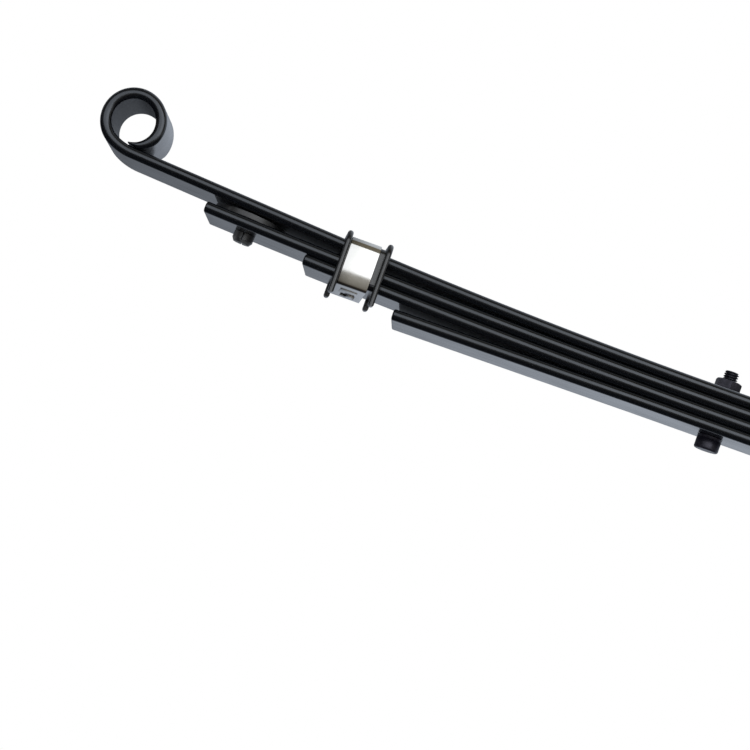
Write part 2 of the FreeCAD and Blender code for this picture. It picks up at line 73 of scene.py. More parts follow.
HELPER_LOW = 0.0          # undersides of the leaves on the bolt's axis
THIRD_LOW = 8.05
SECOND_LOW = 16.1
MAIN_LOW = 24.4
LOWER_RADIUS = 7400.0     # top surface of the second leaf
SECOND_HALF = 384.0
THIRD_HALF = 307.0
HELPER_HALF = 236.0
HELPER_FLAT = 50.0
HELPER_BEND = 2000.0
HELPER_DROOP = math.radians(0.35)
MAIN_RADIUS = 4500.0
MAIN_ARC_HALF = 300.0

BORE_RADIUS = 15.5
EYE_HEIGHT = 17.3         # from the leaf's top face up to the middle of the eye
EYE_RUN_IN = 36.0         # radius of the bend that leads into the roll
RUN_IN_STEPS = 12
ROLL_STEPS = 96
LIP_ROOT = 72.0           # degrees before the leaf below, where the roll starts to thin
LIP_BEND = 32.0           # degrees before it, where the scarf turns steeper
LIP_TIP = 10.0            # degrees before it, where the roll ends
LIP_BEND_THICK = 4.6
LIP_THICK = 0.7
LIP_FULLNESS = 0.34       # how much the gentle part of the scarf swells over a straight one
LIP_NARROWING = 0.8

BOLT_HOLE = 5.25
STEM_HOLE = 6.8
SPOT_RADIUS = 9.2         # shallow spot face under the bolt head
SPOT_DEPTH = 0.3
CUT_LOW = -30.0           # heights past every leaf, for the hole cutters
CUT_HIGH = 90.0
PAD_X = 354.0

HEAD_HEIGHT = 10.3        # centre bolt
HEAD_RADIUS = 8.8
HEAD_EDGE = 1.5           # the rounding of its lower edge
HEAD_BREAK = 0.3          # the small chamfer of its upper edge
GROOVE_DEPTH = 0.12       # the turned line round the head
GROOVE_LOW = -2.3
GROOVE_HIGH = -1.8
GROOVE_FLANK = 0.15
COLLAR_RADIUS = 7.5
SHANK_RADIUS = 5.0
SHANK_TOP = 34.2
THREAD_CREST = 5.2
THREAD_ROOT = 4.1
THREAD_PITCH = 1.75
THREAD_LOW = 34.1
THREAD_TOP = 47.8
THREAD_CHAMFER = 0.8

CLIP_X = 270.1
CLIP_LEAN = math.radians(-0.4)
CLIP_YAW = math.radians(5.5)
CHANNEL_WIDTH = 25.4      # between the liner's flanges
BAND_PLAY = 0.3           # from the band to the nearer flange
BAND_WIDTH = 21.4
BAND_THICK = 1.2
BAND_EDGE = 0.3
BAND_HALF = 35.25         # the band's outside, from the clip's own origin
BAND_HIGH = 31.3
BAND_LOW = -3.8
BAND_SHOULDER = 5.6
BAND_FOOT = 1.4
BAND_BULGE = 1.6
# The blocks of the band's lock: (x, y, height over BAND_LOW) of the centre, (x, y, z) size, bevel.
SLOT_BLOCK = (0.4, 15.0, 0.0), (10.4, 18.0, 4.0), 0.12
LAP_BLOCK = (-0.4, -7.0, -0.15), (12.5, 20.0, 0.7), 0.2
TONGUE_BLOCK = (1.6, 11.5, -0.5), (4.4, 13.0, 1.6), 0.35
TONGUE_TURN = math.radians(14)
HOOK_BLOCK = (0.4, 21.5, 0.2), (6.5, 3.2, 1.0), 0.25

HELPER_FREE_END = 0.505   # metres: the helper leaf's own free length, past its tip

mounts = {mount["name"]: mount for mount in frame["record"]["mounts"]}
EYE_X = mounts["rear_eye"]["pos_m"][0] / MM
EYE_Z = mounts["rear_eye"]["pos_m"][2] / MM


# ---------------------------------------------------------------- mesh helpers


def mesh_object(name, verts, faces, sharp_deg=40.0):
    """A mesh in metres from points in mm, smooth but for edges sharper than sharp_deg."""
    mesh = bpy.data.meshes.new(name)
    mesh.from_pydata([[c * MM for c in v] for v in verts], [], faces)
    mesh.validate()
    mesh.update()
    obj = bpy.data.objects.new(name, mesh)
    bpy.context.scene.collection.objects.link(obj)
    clean_normals(obj, sharp_deg)
    return obj


def clean_normals(obj, sharp_deg=40.0):
    """Outward normals and smooth shading, but for edges sharper than sharp_deg."""
    work = bmesh.new()
    work.from_mesh(obj.data)
    bmesh.ops.recalc_face_normals(work, faces=work.faces)
    work.to_mesh(obj.data)
    work.free()
    obj.data.polygons.foreach_set("use_smooth", [True] * len(obj.data.polygons))
    obj.data.set_sharp_from_angle(angle=math.radians(sharp_deg))
    obj.data.update()


def rings_to_faces(ring_count, ring_size, closed=False):
    """Quads between rings of points laid one after another, capped unless they close up."""
    faces = []
    spans = ring_count if closed else ring_count - 1
    for ring in range(spans):
        here = ring * ring_size
        there = ((ring + 1) % ring_count) * ring_size
        for k in range(ring_size):
            after = (k + 1) % ring_size
            faces.append((here + k, here + after, there + after, there + k))
    if not closed:
        last = (ring_count - 1) * ring_size
        faces.append(tuple(reversed(range(ring_size))))
        faces.append(tuple(last + k for k in range(ring_size)))
    return faces


def cut(obj, *cutters):
    """Take the cutters' volumes out of obj, for good."""
    for cutter in cutters:
        tool = obj.modifiers.new("Cut", "BOOLEAN")
        tool.operation = "DIFFERENCE"
        tool.solver = "EXACT"
        tool.object = cutter
    graph = bpy.context.evaluated_depsgraph_get()
    mesh = bpy.data.meshes.new_from_object(obj.evaluated_get(graph))
    obj.modifiers.clear()
    obj.data = mesh
    for cutter in cutters:
        bpy.data.objects.remove(cutter)
    clean_normals(obj)


def join(name, *objs):
    """One mesh object out of several, all of them at the origin."""
    work = bmesh.new()
    for obj in objs:
        work.from_mesh(obj.data)
        bpy.data.objects.remove(obj)
    mesh = bpy.data.meshes.new(name)
    work.to_mesh(mesh)
    work.free()
    joined = bpy.data.objects.new(name, mesh)
    bpy.context.scene.collection.objects.link(joined)
    clean_normals(joined)
    return joined


def turned(name, outline, x=0.0, sides=64):
    """A turned solid about the Z axis at x: outline is (radius, height) from axis to axis."""
    verts = [(x, 0.0, outline[0][1])]
    for radius, height in outline[1:-1]:
        for k in range(sides):
            turn = 2 * math.pi * k / sides
            verts.append((x + radius * math.cos(turn), radius * math.sin(turn), height))
    verts.append((x, 0.0, outline[-1][1]))
    last = len(verts) - 1
    faces = []
    for ring in range(len(outline) - 3):
        here, there = 1 + ring * sides, 1 + (ring + 1) * sides
        for k in range(sides):
            after = (k + 1) % sides
            faces.append((here + k, here + after, there + after, there + k))
    for k in range(sides):
        after = (k + 1) % sides
        faces.append((0, 1 + after, 1 + k))
        faces.append((last, last - sides + k, last - sides + after))
    return mesh_object(name, verts, faces)


def box_mesh(name, size, bevel):
    """A small block with softened edges, at the origin."""
    work = bmesh.new()
    bmesh.ops.create_cube(work, size=1.0)
    bmesh.ops.scale(work, vec=[s * MM for s in size], verts=work.verts)
    bmesh.ops.bevel(work, geom=work.edges[:], offset=bevel * MM, segments=2, affect="EDGES",
                    profile=0.5)
    mesh = bpy.data.meshes.new(name)
    work.to_mesh(mesh)
    work.free()
    obj = bpy.data.objects.new(name, mesh)
    bpy.context.scene.collection.objects.link(obj)
    clean_normals(obj)
    return obj


# ---------------------------------------------------------------- leaves


def leaf_section(low, high, inset, half_width):
    """A flat bar's section as (y, height): flat faces, and a half-oval nose on each side."""
    low, high = low + inset, high - inset
    middle, half = (low + high) / 2, (high - low) / 2
    depth = NOSE_DEPTH * min(1.0, 0.2 + 0.8 * (high - low) / LEAF_THICK)
    root = half_width - inset - depth
    flat = root - FACE_MARGIN
    points = []
    for side in (1, -1):
        points.append((side * flat, middle - side * half))
        for step in range(NOSE_STEPS + 1):
            turn = math.radians(180 * step / NOSE_STEPS - 90 * side)
            points.append((side * root + depth * math.cos(turn), middle + half * math.sin(turn)))
        points.append((side * flat, middle + side * half))
    return points


def leaf_half(name, side, stations):
    """Half a leaf swept through stations of (x, z, angle, low, high, inset, half_width)."""
    verts = []
    for x, z, angle, low, high, inset, half_width in stations:
        for y, height in leaf_section(low, high, inset, half_width):
            verts.append((side * (x - height * math.sin(angle)), y, z + height * math.cos(angle)))
    ring_size = len(verts) // len(stations)
    return mesh_object(name, verts, rings_to_faces(len(stations), ring_size))


def plain_station(x, z, angle, inset=0.0):
    """A station of the leaf's full thickness and width, less inset all round."""
    half = LEAF_THICK / 2
    return (x, z, angle, -half, half, inset, LEAF_HALF_WIDTH)


def with_rounded_tip(camber, half_length):
    """Stations of a sheared leaf: camber(x) gives (z, angle); the end's edges are broken."""
    count = round(half_length / STATION_STEP)
    flats = [half_length * k / count for k in range(count)] + [half_length - TIP_ROUND]
    stations = [plain_station(x, *camber(x)) for x in flats]
    for step in range(1, TIP_STEPS + 1):
        turn = math.radians(90 * step / TIP_STEPS)
        x = half_length - TIP_ROUND * (1 - math.sin(turn))
        stations.append(plain_station(x, *camber(x), inset=TIP_ROUND * (1 - math.cos(turn))))
    return stations


def round_camber(low, top_radius):
    """The centre line of a leaf bent to one arc."""
    middle = low + LEAF_THICK / 2
    radius = top_radius + LEAF_THICK / 2

    def camber(x):
        angle = math.asin(x / radius)
        return middle + radius * (1 - math.cos(angle)), angle

    return camber


def helper_camber(x):
    """Flat on the seat, then bent down a little and straight to the tip."""
    turn = min(max(x - HELPER_FLAT, 0.0) / HELPER_BEND, HELPER_DROOP)
    bend_end = HELPER_FLAT + HELPER_BEND * math.sin(HELPER_DROOP)
    drop = HELPER_BEND * (1 - math.cos(turn)) + max(x - bend_end, 0.0) * math.tan(HELPER_DROOP)
    return HELPER_LOW + LEAF_THICK / 2 - drop, -turn


def lip_thickness(before):
    """Thickness of the roll where it is scarfed, at so many degrees before the leaf below."""
    if before >= LIP_ROOT:
        return LEAF_THICK
    if before >= LIP_BEND:
        share = (before - LIP_BEND) / (LIP_ROOT - LIP_BEND)
        swelled = (1 + LIP_FULLNESS) * share - LIP_FULLNESS * share ** 2
        return LIP_BEND_THICK + (LEAF_THICK - LIP_BEND_THICK) * swelled
    near, far = BORE_RADIUS + LIP_THICK, BORE_RADIUS + LIP_BEND_THICK
    span = math.radians(LIP_BEND - LIP_TIP)
    ahead = math.radians(before - LIP_TIP)
    radius = math.sin(span) / (math.sin(span - ahead) / near + math.sin(ahead) / far)
    return radius - BORE_RADIUS


def main_stations():
    """Half the main leaf: arc, straight, run-in and the roll round the eye with its lip."""
    half = LEAF_THICK / 2
    slope = MAIN_ARC_HALF / MAIN_RADIUS
    along = (math.cos(slope), math.sin(slope))
    normal = (-along[1], along[0])
    radius = MAIN_RADIUS + half
    roll = BORE_RADIUS + half
    run_in = EYE_RUN_IN + half
    offset = EYE_HEIGHT + half
    lead = math.sqrt((run_in - roll) ** 2 - (run_in - offset) ** 2)
    turn_in = math.asin(lead / (run_in - roll))
    arc_end = (radius * along[1], MAIN_LOW + half + radius * (1 - along[0]))
    line_end = (EYE_X - offset * normal[0] - lead * along[0],
                EYE_Z - offset * normal[1] - lead * along[1])
    stations = []
    count = round(arc_end[0] / STATION_STEP)
    for k in range(count):
        angle = slope * k / count
        stations.append(plain_station(radius * math.sin(angle),
                                      MAIN_LOW + half + radius * (1 - math.cos(angle)), angle))
    count = round((line_end[0] - arc_end[0]) / STATION_STEP)
    for k in range(count):
        share = k / count
        stations.append(plain_station(arc_end[0] + (line_end[0] - arc_end[0]) * share,
                                      arc_end[1] + (line_end[1] - arc_end[1]) * share, slope))
    centre = (line_end[0] + run_in * normal[0], line_end[1] + run_in * normal[1])
    for k in range(RUN_IN_STEPS):
        angle = slope + turn_in * k / RUN_IN_STEPS
        stations.append(plain_station(centre[0] + run_in * math.sin(angle),
                                      centre[1] - run_in * math.cos(angle), angle))
    start = math.degrees(turn_in)
    for k in range(ROLL_STEPS + 1):
        rolled = start + (360 - LIP_TIP - start) * k / ROLL_STEPS
        angle = slope + math.radians(rolled)
        thick = lip_thickness(360 - rolled)
        width = LEAF_HALF_WIDTH - LIP_NARROWING * (1 - thick / LEAF_THICK)
        stations.append((EYE_X + roll * math.sin(angle), EYE_Z - roll * math.cos(angle), angle,
                         half - thick, half, 0.0, width))
    return stations


def hole_cutter(name, x, radius, low=CUT_LOW, high=CUT_HIGH):
    """A plug that cuts a round hole along Z, through every leaf unless low and high say less."""
    return turned(name, [(0, low), (radius, low), (radius, high), (0, high)], x, sides=48)


# the last index marks undersides that the next leaf covers, where a darker, duller paint is
# painted shade between the leaves
GLOSS, TOPS, BORE, COVERED_SHADE = range(4)


def dress_leaf(half, paints, covered):
    """Gloss on the edges; satin on top; dull in the eye; and below, as far as a leaf covers it, a
    darker satin that is painted shade between the leaves.
    """
    for paint in paints:
        half.data.materials.append(paint)
    for face in half.data.polygons:
        x, z = abs(face.center.x) / MM, face.center.z / MM
        in_eye = math.hypot(x - EYE_X, z - EYE_Z) < BORE_RADIUS + 0.1
        face.material_index = GLOSS
        if in_eye and abs(face.normal.y) < 0.5:
            face.material_index = BORE
        elif face.normal.z > 0.97:
            face.material_index = TOPS
        # painted shade: the underside that the next leaf covers gets the darker, duller paint
        elif face.normal.z < -0.9 and x < covered:
            face.material_index = COVERED_SHADE


def make_leaves(paints):
    """Each leaf as two halves, front and rear, meeting on the bolt's axis."""
    second = with_rounded_tip(round_camber(SECOND_LOW, LOWER_RADIUS), SECOND_HALF)
    third = with_rounded_tip(round_camber(THIRD_LOW, LOWER_RADIUS + SECOND_LOW - THIRD_LOW),
                             THIRD_HALF)
    helper = with_rounded_tip(helper_camber, HELPER_HALF)
    bolt_hole, stem_hole = (0.0, BOLT_HOLE), (PAD_X, STEM_HOLE)
    free_end = EYE_X * MM
    leaves = {            # stations, free end, holes, and how far the next leaf covers it
        "main_leaf": (main_stations(), free_end, [bolt_hole], SECOND_HALF),
        "second_leaf": (second, free_end, [bolt_hole, stem_hole], THIRD_HALF),
        "third_leaf": (third, free_end, [bolt_hole], HELPER_HALF),
        "helper_leaf": (helper, HELPER_FREE_END, [bolt_hole], 0.0),
    }
    for node, (stations, bend_from, holes, covered) in leaves.items():
        for side, end in END_NAMES.items():
            half = leaf_half(f"{end}_{node}", side, stations)
            cut(half, *[hole_cutter("hole", side * x, radius) for x, radius in holes])
            if node == "helper_leaf":
                cut(half, hole_cutter("spot", 0.0, SPOT_RADIUS, -5.0, SPOT_DEPTH))
            dress_leaf(half, paints, covered)
            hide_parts(node)
            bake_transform(half)


# ---------------------------------------------------------------- centre bolt


def bolt_outline():
    """Head with a broken edge and a turned line, collar in the spot face, and plain shank."""
    rim = HEAD_RADIUS - HEAD_EDGE
    groove = HEAD_RADIUS - GROOVE_DEPTH
    # spare rings at 3.0, rim - 0.5 and -6.0 keep the shading of the flat face and the side even
    outline = [(0, -HEAD_HEIGHT), (3.0, -HEAD_HEIGHT), (rim - 0.5, -HEAD_HEIGHT)]
    for step in range(7):
        turn = math.radians(15 * step)
        outline.append((rim + HEAD_EDGE * math.sin(turn),
                        -HEAD_HEIGHT + HEAD_EDGE * (1 - math.cos(turn))))
    outline += [
        (HEAD_RADIUS, -6.0),
        (HEAD_RADIUS, GROOVE_LOW),
        (groove, GROOVE_LOW + GROOVE_FLANK),
        (groove, GROOVE_HIGH - GROOVE_FLANK),
        (HEAD_RADIUS, GROOVE_HIGH),
        (HEAD_RADIUS, -HEAD_BREAK - 0.05),
        (HEAD_RADIUS - HEAD_BREAK, -0.05),
        (COLLAR_RADIUS, -0.04),
        (COLLAR_RADIUS, SPOT_DEPTH),
        (SHANK_RADIUS, SPOT_DEPTH),
        (SHANK_RADIUS, SHANK_TOP - 0.2),
        (SHANK_RADIUS - 0.1, SHANK_TOP),
        (0, SHANK_TOP),
    ]
    return outline


def make_thread():
    """A one-start helical thread, chamfered at the top, as rings close enough to show it."""
    sides, step = 96, 0.1
    flank, root_flat = 3.0, 0.15       # slope of the ridge's sides, and the flat at its root
    rings = round((THREAD_TOP - THREAD_LOW) / step)
    verts = []
    for ring in range(rings + 1):
        z = THREAD_LOW + step * ring
        chamfer = THREAD_CREST - THREAD_CHAMFER + (THREAD_TOP - z)
        for k in range(sides):
            phase = (z / THREAD_PITCH - k / sides) % 1.0
            ridge = min(1.0, max(0.0, (0.5 - abs(phase - 0.5)) * flank - root_flat))
            radius = min(THREAD_ROOT + (THREAD_CREST - THREAD_ROOT) * ridge, chamfer)
            turn = 2 * math.pi * k / sides
            verts.append((radius * math.cos(turn), radius * math.sin(turn), z))
    return mesh_object("thread", verts, rings_to_faces(rings + 1, sides), sharp_deg=60)


def make_bolt(finish):
    """The centre bolt: head and shank in one, with the thread that stands out of the nut."""
    bolt = join("centre_bolt_detailed", turned("shank", bolt_outline()), make_thread())
    bolt.data.materials.append(finish)
    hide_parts("centre_bolt")
    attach(bolt, "seat")


# ---------------------------------------------------------------- clip bands


def clip_frame(side):
    """From the clip's own frame to the object's: the clip leans and turns a little askew."""
    height = THIRD_LOW + CLIP_X ** 2 / (2 * LOWER_RADIUS)
    turn = Matrix.Rotation(CLIP_YAW, 4, "Z") @ Matrix.Rotation(CLIP_LEAN, 4, "Y")
    if side > 0:
        turn = Matrix.Rotation(math.pi, 4, "Z") @ turn
    return Matrix.Translation((side * CLIP_X * MM, 0, height * MM)) @ turn


def band_path():
    """The middle of the strip round the clip, and its outward normals: round shoulders, tight
    feet, and sides that bow out."""
    skin = BAND_THICK / 2
    half, low, high = BAND_HALF - skin, BAND_LOW + skin, BAND_HIGH - skin
    corner_steps, straight_steps = 12, 24
    points = []
    corners = [(half - BAND_FOOT, low + BAND_FOOT, BAND_FOOT, -90),
               (half - BAND_SHOULDER, high - BAND_SHOULDER, BAND_SHOULDER, 0),
               (-half + BAND_SHOULDER, high - BAND_SHOULDER, BAND_SHOULDER, 90),
               (-half + BAND_FOOT, low + BAND_FOOT, BAND_FOOT, 180)]
    for index, (y, z, radius, first) in enumerate(corners):
        for step in range(corner_steps + 1):
            turn = math.radians(first + 90 * step / corner_steps)
            points.append([y + radius * math.cos(turn), z + radius * math.sin(turn)])
        next_y, next_z, next_radius, _ = corners[(index + 1) % len(corners)]
        start = points[-1]
        end = [next_y + next_radius * math.cos(turn), next_z + next_radius * math.sin(turn)]
        for step in range(1, straight_steps):
            share = step / straight_steps
            points.append([start[0] + (end[0] - start[0]) * share,
                           start[1] + (end[1] - start[1]) * share])
    side_low, side_high = low + BAND_FOOT, high - BAND_SHOULDER
    middle, reach = (side_low + side_high) / 2, (side_high - side_low) / 2 + 1.5
    for p in points:
        bow = 1 - ((p[1] - middle) / reach) ** 2
        if bow > 0 and abs(p[0]) > half - BAND_SHOULDER:
            p[0] += math.copysign(BAND_BULGE * bow, p[0])
    outward = []
    for k, p in enumerate(points):
        before, after = points[k - 1], points[(k + 1) % len(points)]
        along = Vector((after[0] - before[0], after[1] - before[1])).normalized()
        outward.append((along[1], -along[0]))
    return points, outward


def make_strip():
    """The plain closed strip: a flat section with broken edges, swept round the clip."""
    flat_x, flat_n = BAND_WIDTH / 2 - BAND_EDGE, BAND_THICK / 2 - BAND_EDGE
    section = []
    for x, n, first in ((1, 1, 0), (-1, 1, 90), (-1, -1, 180), (1, -1, 270)):
        for step in range(4):
            turn = math.radians(first + 30 * step)
            section.append((x * flat_x + BAND_EDGE * math.cos(turn),
                            n * flat_n + BAND_EDGE * math.sin(turn)))
    points, outward = band_path()
    verts = []
    for (y, z), (ny, nz) in zip(points, outward):
        for x, n in section:
            verts.append((x, y + n * ny, z + n * nz))
    faces = rings_to_faces(len(points), len(section), closed=True)
    return mesh_object("strip", verts, faces)


def lock_block(name, block, turn=0.0):
    """One block of the lock in the clip's own frame, turned about its own upright axis."""
    (x, y, height), size, bevel = block
    obj = box_mesh(name, size, bevel)
    obj.data.transform(Matrix.Translation(Vector((x, y, BAND_LOW + height)) * MM)
                       @ Matrix.Rotation(turn, 4, "Z"))
    return obj


def make_band(side, steel):
    """A steel band closed under the clip by a punched lock, its tongue turned in the slot."""
    end = END_NAMES[side]
    strip = make_strip()
    cut(strip, lock_block("slot", SLOT_BLOCK))
    band = join(f"{end}_clip_band_detailed", strip, lock_block("lap", LAP_BLOCK),
                lock_block("tongue", TONGUE_BLOCK, TONGUE_TURN), lock_block("hook", HOOK_BLOCK))
    shift = (CHANNEL_WIDTH - BAND_WIDTH) / 2 - BAND_PLAY
    band.data.transform(clip_frame(side) @ Matrix.Translation((-shift * MM, 0, 0)))
    band.data.materials.append(steel)
    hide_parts(f"{end}_clip_band")
    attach(band, f"{end}_clip")


# ---------------------------------------------------------------- materials


class Surface:
    """A material built round one Principled shader, with a little node plumbing."""

    def __init__(self, name, **constants):
        self.material = bpy.data.materials.new(name)
        self.material.use_nodes = True
        self.nodes = self.material.node_tree.nodes
        self.links = self.material.node_tree.links
        self.shader = next(n for n in self.nodes if n.type == "BSDF_PRINCIPLED")
        for socket, value in constants.items():
            self.shader.inputs[socket.replace("_", " ")].default_value = value
        self.place = self.nodes.new("ShaderNodeTexCoord")

    def stretched(self, scale):
        """The object's own coordinates, scaled along each axis."""
        mapping = self.nodes.new("ShaderNodeMapping")
        mapping.inputs["Scale"].default_value = scale
        self.links.new(self.place.outputs["Object"], mapping.inputs["Vector"])
        return mapping.outputs["Vector"]

    def noise(self, scale, detail, stretch=(1, 1, 1)):
        """Noise over the object; less than 1 in stretch draws it out along that axis."""
        texture = self.nodes.new("ShaderNodeTexNoise")
        texture.inputs["Scale"].default_value = scale
        texture.inputs["Detail"].default_value = detail
        self.links.new(self.stretched(stretch), texture.inputs["Vector"])
        return texture.outputs["Fac"]

    def spread(self, value, low, high, to_low, to_high):
        """The value's range low to high, mapped to to_low to to_high."""
        node = self.nodes.new("ShaderNodeMapRange")
        for socket, number in (("From Min", low), ("From Max", high),
                               ("To Min", to_low), ("To Max", to_high)):
            node.inputs[socket].default_value = number
        self.links.new(value, node.inputs["Value"])
        return node.outputs["Result"]

    def vary(self, noise, low, high):
        """The range that most of a noise lies in, mapped to low to high."""
        return self.spread(noise, 0.3, 0.7, low, high)

    def blend(self, factor, first, second):
        """A colour between first and second, each a colour or another colour socket."""
        node = self.nodes.new("ShaderNodeMix")
        node.data_type = "RGBA"
        self.links.new(factor, node.inputs["Factor"])
        for socket, colour in ((node.inputs[6], first), (node.inputs[7], second)):
            if isinstance(colour, tuple):
                socket.default_value = (*colour, 1.0)
            else:
                self.links.new(colour, socket)
        return node.outputs[2]

    def add(self, first, second):
        node = self.nodes.new("ShaderNodeMath")
        node.operation = "ADD"
        self.links.new(first, node.inputs[0])
        self.links.new(second, node.inputs[1])
        return node.outputs[0]

    def bump(self, height, strength, distance, after=None):
        """A normal from a height, on top of the bump after if there is one."""
        node = self.nodes.new("ShaderNodeBump")
        node.inputs["Strength"].default_value = strength
        node.inputs["Distance"].default_value = distance
        self.links.new(height, node.inputs["Height"])
        if after is not None:
            self.links.new(after, node.inputs["Normal"])
        return node.outputs["Normal"]

    def connect(self, **outputs):
        """Wire outputs to the shader's sockets, and give the finished material."""
        for socket, output in outputs.items():
            self.links.new(output, self.shader.inputs[socket.replace("_", " ")])
        return self.material


def leaf_paint():
    """Gloss black enamel over hot-rolled bar: orange peel, dust specks, faint rolling marks."""
    s = Surface("leaf_paint_gloss", Specular_Tint=(0.88, 0.93, 1.0, 1.0))
    cloud = s.noise(22, 4)
    rolled = s.noise(260, 4, stretch=(0.12, 1, 1))
    dust = s.spread(s.noise(1500, 2), 0.68, 0.76, 0, 1)
    peel = s.noise(620, 2)
    colour = s.blend(cloud, (0.0010, 0.0013, 0.0019), (0.0020, 0.0024, 0.0034))
    colour = s.blend(dust, colour, (0.02, 0.021, 0.023))
    rough = s.add(s.vary(rolled, 0.13, 0.19), s.vary(cloud, 0, 0.07))
    normal = s.bump(rolled, 0.10, 0.0002)
    normal = s.bump(peel, 0.08, 0.0002, after=normal)
    return s.connect(Base_Color=colour, Roughness=rough, Normal=normal)


def dull_paint(name, dark, light, specular):
    """A satin version of the enamel with a powdery bloom, gone on thin and dry on the tops and in
    the eye; where a leaf covers another it is painted shade.
    """
    s = Surface(name, Specular_IOR_Level=specular)
    cloud = s.noise(60, 4)
    grain = s.noise(1100, 3)
    rough = s.vary(grain, 0.38, 0.52)
    return s.connect(Base_Color=s.blend(cloud, dark, light), Roughness=rough,
                     Normal=s.bump(grain, 0.15, 0.0001))


def fastener_black():
    """Black oxide with a violet cast, rubbed brighter in patches."""
    s = Surface("fastener_black_oxide", Metallic=0.55)
    rubbed = s.spread(s.noise(180, 4), 0.5, 0.75, 0, 1)
    grain = s.noise(1400, 3)
    colour = s.blend(rubbed, (0.010, 0.0095, 0.016), (0.035, 0.033, 0.046))
    rough = s.vary(grain, 0.3, 0.42)
    return s.connect(Base_Color=colour, Roughness=rough, Normal=s.bump(grain, 0.12, 0.0001))


def liner_black():
    """Satin moulded plastic with fine pale streaks running round the flanges: partly scuffs,
    partly painted highlight.
    """
    s = Surface("liner_satin_plastic")
    # the pale streak colour is partly real scuffing and partly painted highlight along the flange
    # rims
    scuff_and_sheen = s.spread(s.noise(420, 3, stretch=(4, 0.5, 0.5)), 0.62, 0.74, 0, 1)
    grain = s.noise(1700, 2)
    colour = s.blend(scuff_and_sheen, (0.004, 0.0043, 0.005), (0.05, 0.052, 0.056))
    rough = s.add(s.vary(grain, 0.19, 0.26), s.spread(scuff_and_sheen, 0, 1, 0, 0.12))
    return s.connect(Base_Color=colour, Roughness=rough, Normal=s.bump(grain, 0.10, 0.0001))


def band_bright():
    """Bright strip steel, brushed round the band, with a few handling marks."""
    s = Surface("band_brushed_steel", Metallic=1.0, Anisotropic=0.35)
    brushed = s.noise(900, 4, stretch=(4, 0.06, 0.06))
    handled = s.noise(70, 4)
    colour = s.blend(handled, (0.36, 0.352, 0.335), (0.45, 0.445, 0.43))
    rough = s.add(s.vary(brushed, 0.08, 0.16), s.spread(handled, 0.4, 0.7, 0, 0.05))
    return s.connect(Base_Color=colour, Roughness=rough, Normal=s.bump(brushed, 0.08, 0.0001))


def pad_black():
    """Black nylon, dull and slightly chalky where it rubs."""
    s = Surface("pad_nylon")
    rubbed = s.spread(s.noise(120, 4), 0.52, 0.72, 0, 1)
    grain = s.noise(1300, 3)
    colour = s.blend(rubbed, (0.009, 0.0092, 0.010), (0.045, 0.046, 0.048))
    rough = s.spread(rubbed, 0, 1, 0.36, 0.5)
    return s.connect(Base_Color=colour, Roughness=rough, Normal=s.bump(grain, 0.15, 0.0001))


def finish_nodes(material, *names):
    """Give carried-over CAD nodes their material."""
    for name in names:
        obj = frame["nodes"][name]
        obj.data.materials.clear()
        obj.data.materials.append(material)


# ---------------------------------------------------------------- stage, light and camera


# What the object mirrors, by direction in degrees: 0 level in front of it, 90 straight up, 180 and
# -180 level behind it, -90 straight down.
SURROUNDINGS = [
    (-179.9, (0.54, 0.59, 0.67)), (-150, (0.54, 0.59, 0.67)), (-112, (0.06, 0.06, 0.065)),
    (-90, (0.03, 0.03, 0.03)), (-48, (0.035, 0.03, 0.025)), (-22, (0.10, 0.085, 0.065)),
    (-8, (0.5, 0.48, 0.43)), (0, (0.7, 0.68, 0.64)),
    (38, (0.27, 0.24, 0.18)), (74, (0.27, 0.24, 0.18)), (80, (0.9, 0.96, 1.05)),
    (140, (1.0, 1.07, 1.16)), (158, (0.50, 0.55, 0.63)), (179.9, (0.54, 0.59, 0.67)),
]
FRONT_SHARE, REAR_SHARE = 0.36, 1.06      # how strong they are towards the front and rear eye
FADE_START, FADE_END = -0.20, 0.04        # part of a direction along X where that changes

FLOOR_REACH = 9000.0                      # mm
FLOOR_LEVEL = -1600.0

# angles over level of the front softbox's lower and upper edge, seen from the spring
SOFTBOX_LOW = math.radians(-1.5)
SOFTBOX_HIGH = math.radians(39)
SOFTBOX_REACH = 3.2                       # metres from here on
SOFTBOX_COLOUR = (0.94, 0.98, 1.04)
FRONT_X, FRONT_WIDTH, FRONT_RADIANCE = -0.2, 6.0, 2.0
RIGHT_X, RIGHT_WIDTH, RIGHT_RADIANCE = 1.15, 2.4, 0.7
LIT_HEIGHT = 0.03                         # height on the spring that both face

CAMERA_PLACE = (-0.13869, -1.96331, -0.22491)
CAMERA_HEADING = math.radians(2.7890)     # from +Y towards -X
CAMERA_ELEVATION = math.radians(5.4208)   # upwards
CAMERA_ROLL = math.radians(19.9512)
CAMERA_LENS = 135.52


def make_floor():
    """A white floor well below the object, bright enough to show no shadow or horizon."""
    white = bpy.data.materials.new("floor_white")
    white.use_nodes = True
    shader = white.node_tree.nodes["Principled BSDF"]
    shader.inputs["Base Color"].default_value = (0.85, 0.85, 0.85, 1)
    shader.inputs["Roughness"].default_value = 0.9
    shader.inputs["Emission Color"].default_value = (1, 1, 1, 1)
    shader.inputs["Emission Strength"].default_value = 1.0
    corners = [(x * FLOOR_REACH, y * FLOOR_REACH, FLOOR_LEVEL)
               for x, y in ((-1, -1), (1, -1), (1, 1), (-1, 1))]
    floor = mesh_object("floor", corners, [(0, 1, 2, 3)])
    floor.data.materials.append(white)
    floor.visible_glossy = False


